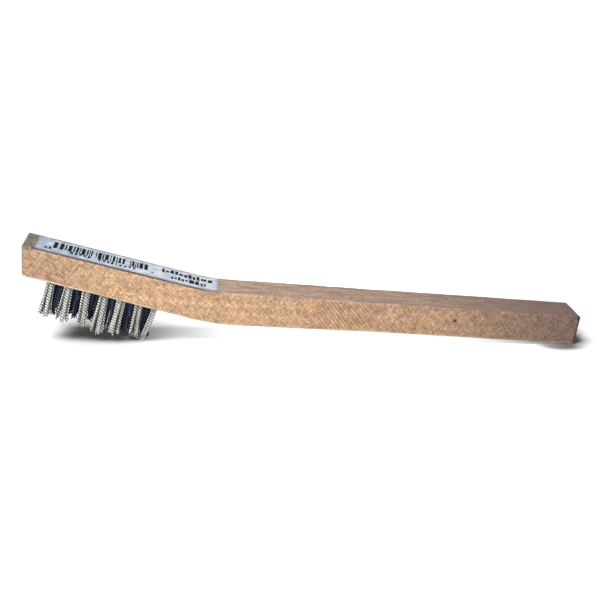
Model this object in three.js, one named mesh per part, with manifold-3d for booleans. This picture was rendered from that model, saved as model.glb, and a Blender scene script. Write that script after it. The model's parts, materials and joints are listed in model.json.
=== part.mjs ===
// A small wire scratch brush: one sawn wooden block that is both head and handle, crimped steel
// wire tufts folded into drilled holes in the head, a wire staple pinning the fold of each tuft,
// and a paper label on the back of the head.
//
// Millimetres, +Z up. +X runs from the head to the free end of the handle, +Y across the block.
// The brush lies as it does on a table, on the tips of its last row of tufts and on the lower
// edge of its free end, and the origin is on the table under the middle of its bounding box.

import * as THREE from "three";
import { mergeVertices } from "three/addons/utils/BufferGeometryUtils.js";
import Module from "manifold-3d";

const wasm = await Module();
wasm.setup();

// --- Driving dimensions -------------------------------------------------------------------

const DEG = Math.PI / 180;

// The block, sawn from one board: both ends are square to the straight handle.
const BLOCK_LENGTH = 197;
const BLOCK_WIDTH = 13.6;
const HANDLE_LENGTH = 134.8; // free end to the corner where the back bends
const HANDLE_THICKNESS = 11.1;
const HEAD_END_HEIGHT = 10.7; // of the head's end face
const BEND_ANGLE = 11 * DEG; // of the back; the head's lower face is a little steeper
const BACK_BEND_RADIUS = 60;
const BELLY_BEND_RADIUS = 80;
const BELLY_BEND_X = 1.4; // the belly's lowest corner, under the bend of the back
const BELLY_SWELL = 1; // how far that corner stands below the handle's straight belly
const BELLY_LEVEL_X = 58; // where the swell has died out
const BELLY_LEVEL_RADIUS = 150;
const EDGE_EASE = 0.4; // sanding radius on the edges of both sides
const END_CORNER_RADIUS = 0.7; // larger than the side edges' own, which is taken off it

// The tuft field: two outer rows in line and a middle row half a pitch along.
const ROW_PITCH = 3.9;
const TUFT_PITCH = 6;
const OUTER_ROW_TUFTS = 7;
const FIRST_TUFT = 9.3; // head's lower end corner to the first tuft, along the head
const HOLE_DIAMETER = 3.2;
const HOLE_DEPTH = 6.6;
const HOLE_POINT = 0.5; // height of the drill point's cone
const HOLE_RIM = 0.15;

const TUFT_DIAMETER = 2.6;
const TUFT_TIP_DIAMETER = 4.2;
const TRIM_LENGTH = 12; // wire standing out of the block
const FOLD_GAP = 0.3; // between the fold and the bottom of the hole
const FOLD_RADIUS = 0.7;

const STAPLE_SPAN = 2.6; // across both legs
const STAPLE_WIRE = 0.5;
const STAPLE_DEPTH = 0.7; // width of the flat wire, along the head
const STAPLE_CROWN_BELOW = 1.7; // crown's outer face, measured out from the hole's bottom
const STAPLE_BITE = 2.1; // legs driven into solid wood
const STAPLE_POINT = 0.6;
const STAPLE_CLEARANCE = 0.3; // room cut for the staple in the wood and in the fold

const LABEL_LENGTH = 62.1;
const LABEL_WIDTH = 11.4;
const LABEL_THICKNESS = 0.12;
const LABEL_SKEW = 0.3 * DEG; // stuck on by hand, not quite straight
const LABEL_OFF_CENTRE = 0.25; // towards the front side
const LABEL_FROM_END = 3.95;
const LABEL_LIFT = 0.1; // paste between the paper and the wood
const LABEL_BEND_STEPS = 6;

const ROUND_SIDES = 16;

// --- Solids -------------------------------------------------------------------------------

// A closed geometry as a manifold-3d solid.
function solidOf(geometry) {
  const bare = geometry.clone();
  bare.deleteAttribute("normal");
  bare.deleteAttribute("uv");
  const merged = mergeVertices(bare, 1e-4);
  return new wasm.Manifold(
    new wasm.Mesh({
      numProp: 3,
      vertProperties: new Float32Array(merged.attributes.position.array),
      triVerts: new Uint32Array(merged.index.array),
    }),
  );
}

function geometryOf(solid) {
  const mesh = solid.getMesh();
  const geometry = new THREE.BufferGeometry();
  geometry.setAttribute("position", new THREE.BufferAttribute(mesh.vertProperties, 3));
  geometry.setIndex(new THREE.BufferAttribute(mesh.triVerts, 1));
  geometry.computeVertexNormals();
  return geometry;
}

// A closed path through corners [x, y, radius], each rounded by an arc that is tangent to both
// of its sides. Corners run anticlockwise; one that turns clockwise is a hollow bend.
function roundedOutline(corners) {
  const shape = new THREE.Shape();
  corners.forEach(([x, y, radius], i) => {
    const corner = new THREE.Vector2(x, y);
    const before = corners[(i + corners.length - 1) % corners.length];
    const after = corners[(i + 1) % corners.length];
    const inward = corner.clone().sub(new THREE.Vector2(before[0], before[1])).normalize();
    const outward = new THREE.Vector2(after[0], after[1]).sub(corner).normalize();
    const turn = Math.atan2(inward.cross(outward), inward.dot(outward));
    const reach = radius * Math.tan(Math.abs(turn) / 2);
    const side = Math.sign(turn);
    const start = corner.clone().addScaledVector(inward, -reach);
    const toCentre = new THREE.Vector2(-inward.y, inward.x).multiplyScalar(side * radius);
    const centre = start.clone().add(toCentre);
    const from = Math.atan2(start.y - centre.y, start.x - centre.x);
    shape.absarc(centre.x, centre.y, radius, from, from + turn, side < 0);
  });
  shape.closePath();
  return shape;
}

// --- The block's side view, in the frame of the straight handle -----------------------------
// x = 0 and z = 0 are where the two straight parts of the back would meet.

const endX = HANDLE_LENGTH - BLOCK_LENGTH;
const endTopZ = -endX * Math.tan(BEND_ANGLE);
const endBottomZ = endTopZ - HEAD_END_HEIGHT;
const bellyBendZ = -HANDLE_THICKNESS - BELLY_SWELL;
const headAngle = Math.atan2(endBottomZ - bellyBendZ, BELLY_BEND_X - endX);

// Takes the head's own frame into the handle's: origin at the end's lower corner, x along the
// head towards the bend, z square to the head's lower face and into the wood.
const headFrame = new THREE.Matrix4()
  .makeRotationY(headAngle)
  .setPosition(endX, 0, endBottomZ);

// Points [x, z] along the back under the label, raised off the wood by the given height.
function backCurve(height) {
  const tangent = BACK_BEND_RADIUS * Math.tan(BEND_ANGLE / 2);
  const backLength = -endX / Math.cos(BEND_ANGLE);
  const toBend = backLength - tangent;
  const points = [];
  const at = (x, z, slope) => {
    points.push(new THREE.Vector2(x + height * Math.sin(slope), z + height * Math.cos(slope)));
  };
  const first = backLength - LABEL_FROM_END;
  at(-first * Math.cos(BEND_ANGLE), first * Math.sin(BEND_ANGLE), BEND_ANGLE);
  const lastTurn = (LABEL_FROM_END + LABEL_LENGTH - toBend) / BACK_BEND_RADIUS;
  for (let n = 0; n <= LABEL_BEND_STEPS; n++) {
    const slope = BEND_ANGLE - (lastTurn * n) / LABEL_BEND_STEPS;
    at(tangent - BACK_BEND_RADIUS * Math.sin(slope), BACK_BEND_RADIUS * (1 - Math.cos(slope)), slope);
  }
  return points;
}

function blockBlank() {
  const outline = roundedOutline([
    [endX, endBottomZ, END_CORNER_RADIUS],
    [BELLY_BEND_X, bellyBendZ, BELLY_BEND_RADIUS],
    [BELLY_LEVEL_X, -HANDLE_THICKNESS, BELLY_LEVEL_RADIUS],
    [HANDLE_LENGTH, -HANDLE_THICKNESS, END_CORNER_RADIUS],
    [HANDLE_LENGTH, 0, END_CORNER_RADIUS],
    [0, 0, BACK_BEND_RADIUS],
    [endX, endTopZ, END_CORNER_RADIUS],
  ]);
  const blank = new THREE.ExtrudeGeometry(outline, {
    depth: BLOCK_WIDTH - 2 * EDGE_EASE,
    curveSegments: 8,
    bevelEnabled: true,
    bevelThickness: EDGE_EASE,
    bevelSize: EDGE_EASE,
    bevelOffset: -EDGE_EASE,
    bevelSegments: 2,
  });
  blank.translate(0, 0, EDGE_EASE - BLOCK_WIDTH / 2);
  blank.rotateX(Math.PI / 2);
  return blank;
}

// --- Pieces in the head's frame, about one tuft's own axis ----------------------------------

// A body of revolution about z from [radius, z] points that start and end on the axis.
function turned(profile) {
  const points = profile.map(([r, z]) => new THREE.Vector2(r, z));
  return new THREE.LatheGeometry(points, ROUND_SIDES).rotateX(Math.PI / 2);
}

function tuftHole() {
  const r = HOLE_DIAMETER / 2;
  const outside = -1;
  return turned([
    [0, outside],
    [r + HOLE_RIM, outside],
    [r + HOLE_RIM, 0],
    [r, HOLE_RIM],
    [r, HOLE_DEPTH],
    [0, HOLE_DEPTH + HOLE_POINT],
  ]);
}

// The flat wire staple: a crown across the fold and two pointed legs, grown by a clearance
// where it is used to cut room for itself.
function staple(grow = 0) {
  const half = STAPLE_SPAN / 2 + grow;
  const inner = STAPLE_SPAN / 2 - STAPLE_WIRE - grow;
  const crown = HOLE_DEPTH - STAPLE_CROWN_BELOW - grow;
  const crownInside = crown + STAPLE_WIRE + 2 * grow;
  const tip = HOLE_DEPTH + STAPLE_BITE + grow;
  const shoulder = tip - STAPLE_POINT;
  const shape = new THREE.Shape(
    [
      [-half, crown],
      [half, crown],
      [half, tip],
      [inner, shoulder],
      [inner, crownInside],
      [-inner, crownInside],
      [-inner, shoulder],
      [-half, tip],
    ].map(([y, z]) => new THREE.Vector2(y, z)),
  );
  const depth = STAPLE_DEPTH + 2 * grow;
  const geometry = new THREE.ExtrudeGeometry(shape, { depth, bevelEnabled: false });
  geometry.translate(0, 0, -depth / 2);
  // The shape is drawn with x across the block and y into the wood.
  geometry.applyMatrix4(new THREE.Matrix4().set(0, 0, 1, 0, 1, 0, 0, 0, 0, 1, 0, 0, 0, 0, 0, 1));
  return geometry;
}

// One bundle of wire, folded in the hole round the staple and flaring a little to its tips.
function tuft() {
  const r = TUFT_DIAMETER / 2;
  const foldEnd = HOLE_DEPTH - FOLD_GAP;
  const bundle = turned([
    [0, -TRIM_LENGTH],
    [TUFT_TIP_DIAMETER / 2, -TRIM_LENGTH],
    [(r + TUFT_TIP_DIAMETER / 2) / 2, -TRIM_LENGTH / 2],
    [r, 0],
    [r, foldEnd - FOLD_RADIUS],
    [r - FOLD_RADIUS * 0.3, foldEnd - FOLD_RADIUS * 0.3],
    [r - FOLD_RADIUS, foldEnd],
    [0, foldEnd],
  ]);
  return geometryOf(solidOf(bundle).subtract(solidOf(staple(STAPLE_CLEARANCE))));
}

// --- Where each tuft stands -----------------------------------------------------------------

function tuftPlaces() {
  const places = [];
  ["front", "middle", "back"].forEach((row, i) => {
    const staggered = row === "middle";
    const count = OUTER_ROW_TUFTS - (staggered ? 1 : 0);
    const start = FIRST_TUFT + (staggered ? TUFT_PITCH / 2 : 0);
    for (let n = 0; n < count; n++) {
      places.push({ name: `${row}_${n + 1}`, x: start + n * TUFT_PITCH, y: (i - 1) * ROW_PITCH });
    }
  });
  return places;
}

// --- Assembly -------------------------------------------------------------------------------

const wood = new THREE.MeshStandardMaterial({ color: 0xc99c74, roughness: 0.75, metalness: 0 });
const wire = new THREE.MeshStandardMaterial({ color: 0xb9b8ac, roughness: 0.35, metalness: 1 });
const stapleSteel = new THREE.MeshStandardMaterial({ color: 0x9a9c9e, roughness: 0.4, metalness: 1 });
const paper = new THREE.MeshStandardMaterial({ color: 0xe6ebf2, roughness: 0.6, metalness: 0 });

function named(name, geometry, material) {
  const mesh = new THREE.Mesh(geometry, material);
  mesh.name = name;
  return mesh;
}

function drilledBlock(places) {
  let block = solidOf(blockBlank());
  for (const place of places) {
    const seat = new THREE.Matrix4().makeTranslation(place.x, place.y, 0).premultiply(headFrame);
    for (const tool of [tuftHole(), staple(STAPLE_CLEARANCE)]) {
      block = block.subtract(solidOf(tool.applyMatrix4(seat)));
    }
  }
  return named("wood_block", geometryOf(block), wood);
}

// The tufts and their staples, in the head's frame.
function wireFilling(places) {
  const group = new THREE.Group();
  for (const place of places) {
    const bundle = named(`tuft_${place.name}`, tuft(), wire);
    const pin = named(`staple_${place.name}`, staple(), stapleSteel);
    for (const piece of [bundle, pin]) {
      piece.position.set(place.x, place.y, 0);
      group.add(piece);
    }
  }
  return group;
}

// A strip of paper that lies along the back and bends with it just past the head, drawn from
// the side in the handle's frame and then slid across by its skew.
function paperLabel() {
  const inside = backCurve(LABEL_LIFT);
  const outside = backCurve(LABEL_LIFT + LABEL_THICKNESS).reverse();
  const shape = new THREE.Shape([...inside, ...outside]);
  const strip = new THREE.ExtrudeGeometry(shape, { depth: LABEL_WIDTH, bevelEnabled: false });
  strip.translate(0, 0, LABEL_OFF_CENTRE - LABEL_WIDTH / 2);
  strip.rotateX(Math.PI / 2);
  const middleX = endX + LABEL_FROM_END + LABEL_LENGTH / 2;
  strip.translate(-middleX, 0, 0);
  strip.applyMatrix4(new THREE.Matrix4().makeShear(Math.tan(LABEL_SKEW), 0, 0, 0, 0, 0));
  strip.translate(middleX, 0, 0);
  return named("paper_label", strip, paper);
}

// The turn that brings the last tufts' tips and the free end's lower corner level.
function restAngle(places) {
  const lastX = Math.max(...places.map((place) => place.x)) + TUFT_TIP_DIAMETER / 2;
  const tip = new THREE.Vector3(lastX, 0, -TRIM_LENGTH).applyMatrix4(headFrame);
  const fall = -HANDLE_THICKNESS - tip.z;
  return Math.atan2(fall, HANDLE_LENGTH - tip.x);
}

function brush() {
  const places = tuftPlaces();
  const head = new THREE.Group();
  head.applyMatrix4(headFrame);
  head.add(wireFilling(places));

  const lying = new THREE.Group();
  lying.add(drilledBlock(places), paperLabel(), head);
  lying.rotation.y = restAngle(places);

  const model = new THREE.Group();
  model.add(lying);
  model.updateMatrixWorld(true);
  const box = new THREE.Box3().setFromObject(model, true);
  lying.position.set(-(box.min.x + box.max.x) / 2, 0, -box.min.z);
  return model;
}

export default brush();
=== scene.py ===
"""A small wire scratch brush: its looks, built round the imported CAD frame.

The wooden block, the paper label and the wire tufts are modelled here in fine detail and stand for
their plain CAD solids. The staples, hidden in the wood, keep their CAD shape.

Shapes are worked out in millimetres in two frames of the brush's own. In the handle's frame x = 0 and
z = 0 are where the two straight parts of the back would meet, +x runs to the free end and +z is square
to the back. In the head's frame the origin is the lower corner of the head's end, +x runs along the
head towards the bend and +z goes into the wood.
"""

import json
import math
import random

import bmesh
import bpy
import numpy as np
from mathutils import Matrix, Vector, noise

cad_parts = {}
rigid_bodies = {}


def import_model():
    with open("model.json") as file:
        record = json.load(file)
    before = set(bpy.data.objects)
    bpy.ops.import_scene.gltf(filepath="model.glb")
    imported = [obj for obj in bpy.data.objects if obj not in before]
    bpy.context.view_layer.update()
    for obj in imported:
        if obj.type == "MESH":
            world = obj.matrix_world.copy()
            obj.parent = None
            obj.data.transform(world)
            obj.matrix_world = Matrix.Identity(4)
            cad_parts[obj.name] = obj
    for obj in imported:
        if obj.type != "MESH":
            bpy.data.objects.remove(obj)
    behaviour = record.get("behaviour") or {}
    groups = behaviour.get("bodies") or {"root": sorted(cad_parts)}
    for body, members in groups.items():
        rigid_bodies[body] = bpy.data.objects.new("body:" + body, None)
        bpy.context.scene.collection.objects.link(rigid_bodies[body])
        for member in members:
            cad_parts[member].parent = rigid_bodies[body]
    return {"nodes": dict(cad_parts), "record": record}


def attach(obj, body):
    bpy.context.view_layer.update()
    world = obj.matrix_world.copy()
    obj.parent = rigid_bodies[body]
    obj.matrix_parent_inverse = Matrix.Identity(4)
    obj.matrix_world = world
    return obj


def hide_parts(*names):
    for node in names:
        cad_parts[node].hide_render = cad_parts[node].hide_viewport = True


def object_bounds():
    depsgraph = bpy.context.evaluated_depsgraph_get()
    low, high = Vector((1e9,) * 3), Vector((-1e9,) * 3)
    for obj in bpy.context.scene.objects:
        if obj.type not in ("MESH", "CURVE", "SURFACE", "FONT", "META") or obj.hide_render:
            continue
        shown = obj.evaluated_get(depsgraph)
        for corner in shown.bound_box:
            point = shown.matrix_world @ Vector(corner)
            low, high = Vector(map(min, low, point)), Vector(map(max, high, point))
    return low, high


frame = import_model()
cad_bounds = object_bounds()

MM = 0.001

# --- The block, as the CAD has it ---

BLOCK_LENGTH = 197.0
BLOCK_WIDTH = 13.6
HANDLE_LENGTH = 134.8
HANDLE_THICKNESS = 11.1
HEAD_END_HEIGHT = 10.7
BEND_ANGLE = math.radians(11)
BACK_BEND_RADIUS = 60.0
BELLY_BEND_RADIUS = 80.0
BELLY_BEND_X = 1.4
BELLY_SWELL = 1.0
BELLY_LEVEL_X = 58.0
BELLY_LEVEL_RADIUS = 150.0
MOUNT_FROM_BEND = 67.0  # the record's mount on the back of the handle
HOLE_DIAMETER = 3.2
HOLE_DEPTH = 6.6
TRIM_LENGTH = 12.0

END_X = HANDLE_LENGTH - BLOCK_LENGTH
END_TOP_Z = -END_X * math.tan(BEND_ANGLE)
END_BOTTOM_Z = END_TOP_Z - HEAD_END_HEIGHT
BELLY_BEND_Z = -HANDLE_THICKNESS - BELLY_SWELL
HEAD_ANGLE = math.atan2(END_BOTTOM_Z - BELLY_BEND_Z, BELLY_BEND_X - END_X)
BACK_LENGTH = -END_X / math.cos(BEND_ANGLE)  # the head's back, from its end to the bend


def handle_frame():
    """Takes millimetres in the handle's frame to metres in the row's, from the mount on its back."""
    mounts = {m["name"]: m for m in frame["record"]["mounts"]}
    back = mounts["handle_back"]
    tilt = math.atan2(back["axis"][0], back["axis"][2])
    place = Matrix.Translation(back["pos_m"]) @ Matrix.Rotation(tilt, 4, "Y") @ Matrix.Scale(MM, 4)
    return place @ Matrix.Translation((-MOUNT_FROM_BEND, 0, 0))


HANDLE = handle_frame()
HEAD_IN_HANDLE = Matrix.Translation((END_X, 0, END_BOTTOM_Z)) @ Matrix.Rotation(HEAD_ANGLE, 4, "Y")
HEAD = HANDLE @ HEAD_IN_HANDLE


def line_height(x, corners):
    """Height at x of a line through corners [x, z, radius], each rounded by an arc."""
    for (x0, z0, _), (x1, z1, radius), (x2, z2, _) in zip(corners, corners[1:], corners[2:]):
        before = math.atan2(z1 - z0, x1 - x0)
        after = math.atan2(z2 - z1, x2 - x1)
        reach = radius * math.tan(abs(after - before) / 2)
        start = x1 - reach * math.cos(before)
        if start < x < x1 + reach * math.cos(after):
            side = math.copysign(1, after - before)
            centre_x = start - side * radius * math.sin(before)
            centre_z = z1 - reach * math.sin(before) + side * radius * math.cos(before)
            return centre_z - side * math.sqrt(radius**2 - (x - centre_x) ** 2)
    for (x0, z0, _), (x1, z1, _) in zip(corners, corners[1:]):
        if x <= x1:
            break
    return z0 + (z1 - z0) * (x - x0) / (x1 - x0)


BACK_LINE = ((END_X, END_TOP_Z, 0.0), (0.0, 0.0, BACK_BEND_RADIUS), (HANDLE_LENGTH, 0.0, 0.0))
BELLY_LINE = (
    (END_X, END_BOTTOM_Z, 0.0),
    (BELLY_BEND_X, BELLY_BEND_Z, BELLY_BEND_RADIUS),
    (BELLY_LEVEL_X, -HANDLE_THICKNESS, BELLY_LEVEL_RADIUS),
    (HANDLE_LENGTH, -HANDLE_THICKNESS, 0.0),
)


def back_z(x):
    return line_height(x, BACK_LINE)


def belly_z(x):
    return line_height(x, BELLY_LINE)


def smooth_step(low, high, value):
    t = min(1.0, max(0.0, (value - low) / (high - low)))
    return t * t * (3 - 2 * t)


def noise_at(*place):
    return noise.noise(Vector(place))


# --- Mesh helpers ---


def new_object(name, mesh, materials):
    piece = bpy.data.objects.new(name, mesh)
    bpy.context.scene.collection.objects.link(piece)
    for material in materials:
        mesh.materials.append(material)
    return piece


def mesh_of(name, points, faces):
    mesh = bpy.data.meshes.new(name)
    mesh.from_pydata([tuple(p) for p in points], [], faces)
    mesh.update()
    return mesh


def set_attribute(mesh, name, kind, values):
    layer = mesh.attributes.new(name, kind, "POINT")
    key = "vector" if kind == "FLOAT_VECTOR" else "value"
    layer.data.foreach_set(key, np.asarray(values, np.float32).ravel())


def set_attributes(mesh, **named):
    for name, values in named.items():
        set_attribute(mesh, name, "FLOAT", values)


# --- Materials ---


class Shader:
    """A short way to write a node tree that ends in one Principled BSDF."""

    def __init__(self, name):
        self.material = bpy.data.materials.new(name)
        self.material.use_nodes = True
        self.tree = self.material.node_tree
        self.principled = self.tree.nodes["Principled BSDF"]

    def node(self, kind, **settings):
        made = self.tree.nodes.new(kind)
        for key, value in settings.items():
            setattr(made, key, value)
        return made

    def feed(self, socket, value):
        if isinstance(value, bpy.types.NodeSocket):
            self.tree.links.new(value, socket)
        else:
            socket.default_value = value

    def math(self, operation, first, second):
        made = self.node("ShaderNodeMath", operation=operation)
        self.feed(made.inputs[0], first)
        self.feed(made.inputs[1], second)
        return made.outputs[0]

    def ramp(self, value, low, high, to_low=0.0, to_high=1.0):
        made = self.node("ShaderNodeMapRange", interpolation_type="SMOOTHSTEP")
        for socket, given in zip(made.inputs, (value, low, high, to_low, to_high)):
            self.feed(socket, given)
        return made.outputs[0]

    def mix(self, factor, first, second, blend="MIX"):
        made = self.node("ShaderNodeMix", data_type="RGBA", blend_type=blend)
        self.feed(made.inputs[0], factor)
        self.feed(made.inputs[6], first)
        self.feed(made.inputs[7], second)
        return made.outputs[2]

    def attribute(self, name, output="Fac"):
        return self.node("ShaderNodeAttribute", attribute_name=name).outputs[output]

    def scaled(self, vector, scale, shift=(0, 0, 0), turn=(0, 0, 0)):
        made = self.node("ShaderNodeMapping")
        self.feed(made.inputs["Vector"], vector)
        made.inputs["Scale"].default_value = scale
        made.inputs["Location"].default_value = shift
        made.inputs["Rotation"].default_value = turn
        return made.outputs[0]

    def noise(self, vector, scale, detail, roughness=0.5, distortion=0.0):
        made = self.node("ShaderNodeTexNoise")
        self.feed(made.inputs["Vector"], vector)
        made.inputs["Scale"].default_value = scale
        made.inputs["Detail"].default_value = detail
        made.inputs["Roughness"].default_value = roughness
        made.inputs["Distortion"].default_value = distortion
        return made.outputs["Fac"]

    def cells(self, vector):
        made = self.node("ShaderNodeTexVoronoi")
        self.feed(made.inputs["Vector"], vector)
        made.inputs["Scale"].default_value = 1.0
        return made.outputs["Distance"]

    def bump(self, height, strength, distance):
        made = self.node("ShaderNodeBump")
        made.inputs["Strength"].default_value = strength
        made.inputs["Distance"].default_value = distance
        self.feed(made.inputs["Height"], height)
        return made.outputs[0]

    def finish(self, **inputs):
        for name, value in inputs.items():
            self.feed(self.principled.inputs[name.replace("_", " ")], value)
        return self.material


def colour(red, green, blue):
    """A linear colour from ordinary screen values of 0 to 255."""

    def linear(value):
        v = value / 255
        return v / 12.92 if v <= 0.04045 else ((v + 0.055) / 1.055) ** 2.4

    return (linear(red), linear(green), linear(blue), 1.0)


DARKENS_FROM, DARKENS_TO = 74.0, 150.0  # along the handle, over which it grows darker towards the free end
SPECKLE_SLANTS = ((52, 0.0), (-44, 40.0))  # degrees from the grain, and a shift between the two
SAW_SLANT = math.radians(42)
SAW_SCALE = 0.27
KNOT = ((87.7, -6.8, -4.7), 0.9)  # where it is in the handle's frame, and how dark
KNOT_TAIL = ((88.7, -6.8, -6.2), 0.4)
WOOD_SPECULAR = 0.3


class Beech(Shader):
    """Unvarnished beech, in millimetres of the handle's frame. A method that is given the wood's tone so
    far gives it back with one more layer."""

    def __init__(self):
        super().__init__("beech")
        self.place = self.attribute("wood_place", "Vector")
        self.back = self.attribute("back_face")
        self.edge = self.attribute("edge")
        parts = self.node("ShaderNodeSeparateXYZ")
        self.feed(parts.inputs[0], self.place)
        self.along, self.across = parts.outputs[0], parts.outputs[1]
        # Broad bands of growth along the grain, finer streaks inside them, and short strokes.
        self.bands = self.grain((0.012, 0.30, 0.42), 3.0, 0.55, distortion=0.6)
        self.streaks = self.grain((0.06, 1.7, 2.0), 3.0, 0.6)
        self.strokes = self.grain((0.10, 0.5, 0.6), 3.0, 0.6, shift=(2, 6, 11))
        self.pore = self.ramp(self.grain((1.3, 6.0, 7.0), 2.0, 0.7), 0.55, 0.75)

    def grain(self, scale, detail, roughness=0.5, shift=(0, 0, 0), distortion=0.0):
        """Noise in the wood, stretched by a scale for each direction."""
        return self.noise(self.scaled(self.place, scale, shift=shift), 1.0, detail, roughness, distortion)

    def tinted(self, tone, amount, red, green, blue):
        return self.mix(amount, tone, colour(red, green, blue))

    def both(self, first, second):
        return self.math("MULTIPLY", first, second)

    def fresh(self):
        tone = self.mix(self.ramp(self.bands, 0.32, 0.68), colour(198, 162, 126), colour(216, 180, 144))
        tone = self.tinted(tone, self.ramp(self.streaks, 0.35, 0.75, 0.0, 0.4), 190, 148, 116)
        mottle = self.grain((0.07, 0.16, 0.16), 2.0)
        tone = self.tinted(tone, self.ramp(mottle, 0.42, 0.66, 0.0, 0.4), 204, 160, 138)
        tone = self.tinted(tone, self.ramp(self.strokes, 0.5, 0.66, 0.0, 0.3), 176, 142, 124)
        return self.tinted(tone, self.ramp(self.strokes, 0.48, 0.3, 0.0, 0.25), 232, 182, 130)

    def greyed(self, tone):
        """The back has greyed, and so has the head's end. The free half of the handle grows darker, and the
        back of the head is a darker grey.
        """
        grey = self.mix(self.ramp(self.bands, 0.3, 0.7), colour(182, 158, 140), colour(198, 172, 152))
        grey = self.tinted(grey, self.ramp(self.strokes, 0.42, 0.58, 0.0, 0.7), 148, 123, 116)
        grey = self.tinted(grey, self.ramp(self.streaks, 0.4, 0.7, 0.0, 0.5), 160, 138, 126)
        tone = self.mix(self.both(self.back, 0.9), tone, grey)
        # Darker towards the free end of the handle.
        reach = self.math("ADD", self.along, self.both(self.bands, 24.0))
        tone = self.tinted(tone, self.ramp(reach, DARKENS_FROM, DARKENS_TO, 0.0, 0.9), 142, 118, 112)
        tone = self.tinted(tone, self.ramp(self.along, -62.0, -24.0, 0.5, 0.0), 150, 124, 104)
        # Darker grey over the back of the head, in patches.
        head_grey = self.ramp(self.along, -60.0, -57.0, 0.95, 0.75)
        head_grey = self.both(head_grey, self.ramp(self.along, -30.0, 0.0, 1.0, 0.0))
        head_back_patches = self.ramp(self.noise(self.place, 0.9, 3.0, 0.7), 0.38, 0.62)
        head_back_grey = self.mix(head_back_patches, colour(96, 94, 90), colour(128, 125, 118))
        return self.mix(self.both(self.back, head_grey), tone, head_back_grey)

    def speckled(self, tone):
        """Slanting speckle, which is fainter on the back, then dust, and a warm or yellow blush."""
        share = self.ramp(self.back, 0.0, 1.0, 1.0, 0.75)
        for slant, far in SPECKLE_SLANTS:
            slanted = self.scaled(self.place, (1, 1, 1), shift=(far, 0, 0), turn=(0, math.radians(slant), 0))
            speckle = self.noise(self.scaled(slanted, (0.5, 1.4, 2.7)), 1.0, 3.0, 0.74)
            tone = self.mix(share, tone, self.ramp(speckle, 0.34, 0.66, 0.68, 1.3), "MULTIPLY")
        dust = self.grain((2.4, 2.8, 2.8), 2.0, 0.6, shift=(6, 1, 9))
        tone = self.mix(1.0, tone, self.ramp(dust, 0.3, 0.7, 0.7, 1.27), "MULTIPLY")
        blush = self.grain((0.5, 0.8, 0.8), 2.0, 0.6, shift=(3, 5, 8))
        tone = self.tinted(tone, self.ramp(blush, 0.5, 0.72, 0.0, 0.2), 206, 150, 124)
        return self.tinted(tone, self.ramp(blush, 0.48, 0.28, 0.0, 0.2), 206, 178, 122)

    def flecked(self, tone):
        """Ray flecks a millimetre or two long, in patches, and open pores."""
        flecks = self.cells(self.scaled(self.place, (0.5, 1.5, 1.9), turn=(0, 0.03, 0)))
        patches = self.grain((0.15, 0.3, 0.5), 2.0, shift=(7, 3, 1))
        fleck = self.ramp(flecks, 0.16, 0.34, 1.0, 0.0)
        fleck = self.both(fleck, self.ramp(patches, 0.36, 0.62, 0.25, 0.85))
        tone = self.tinted(tone, self.both(fleck, 0.12), 148, 104, 78)
        return self.tinted(tone, self.both(self.pore, 0.16), 120, 80, 58)

    def saw_marks(self):
        """Slanting saw marks, which show in one stretch of the sides."""
        saw = self.node("ShaderNodeTexWave", wave_type="BANDS", bands_direction="X", wave_profile="SIN")
        self.feed(saw.inputs["Vector"], self.scaled(self.place, (1, 1, 1), turn=(0, SAW_SLANT, 0)))
        saw.inputs["Scale"].default_value = SAW_SCALE
        saw.inputs["Distortion"].default_value = 0.6
        saw.inputs["Detail"].default_value = 1.0
        sawn = self.both(self.ramp(self.along, 33.0, 40.0), self.ramp(self.along, 52.0, 64.0, 1.0, 0.0))
        sawn = self.both(sawn, self.math("SUBTRACT", 1.0, self.back))
        return self.both(self.ramp(saw.outputs["Fac"], 0.45, 0.9), sawn)

    def knotted(self, tone):
        """One pin knot on the side of the handle, with a paler tail."""
        for middle, strength in (KNOT, KNOT_TAIL):
            away = self.node("ShaderNodeVectorMath", operation="DISTANCE")
            self.feed(away.inputs[0], self.place)
            away.inputs[1].default_value = middle
            tone = self.tinted(tone, self.ramp(away.outputs["Value"], 0.3, 1.1, strength, 0.0), 78, 50, 38)
        return tone

    def handled(self, tone):
        """Painted highlight along the lower edges, as eased edges catching the light, strongest towards the
        head;
        elsewhere the edges are grimed. Painted shadow of the label's near edge, with old glue, darkens the
        back's edge beside the label. The free end's rim is painted dark as shade on its eased edge, with a
        dark spot at its top front corner, and the end grain is darker and dotted."""
        grime_and_highlight_patches = self.grain((0.2, 0.2, 0.2), 3.0, shift=(0, 9, 4))
        over_belly = self.attribute("over_belly")
        low_edge = self.both(self.edge, self.ramp(over_belly, 1.2, 0.4))
        # Painted highlight: paler along the lower edges, where an eased edge catches the light.
        tone = self.tinted(tone, self.both(low_edge, self.ramp(grime_and_highlight_patches, 0.4, 0.6, 0.1, 0.4)), 232, 204, 172)
        tone = self.tinted(tone, self.both(self.edge, self.ramp(grime_and_highlight_patches, 0.5, 0.36, 0.0, 0.35)), 112, 92, 80)
        # Painted highlight, brighter still along the head's lower edge.
        bright = self.both(self.ramp(over_belly, 0.9, 0.2), self.ramp(self.along, -30.0, 6.0, 1.0, 0.35))
        bright = self.both(self.both(bright, low_edge), self.ramp(grime_and_highlight_patches, 0.3, 0.5, 0.55, 0.95))
        tone = self.tinted(tone, bright, 252, 234, 206)
        # Painted shadow under the label's near edge, together with old glue, on the strip of wood beside it.
        glue_and_shadow = self.both(self.ramp(self.across, -5.2, -5.8), self.ramp(self.along, -4.0, 4.0, 0.85, 0.0))
        glue_and_shadow = self.both(self.both(glue_and_shadow, self.back), self.ramp(self.along, -59.6, -58.8))
        tone = self.tinted(tone, self.both(glue_and_shadow, self.ramp(grime_and_highlight_patches, 0.35, 0.6, 0.6, 1.0)), 66, 54, 52)
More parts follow.
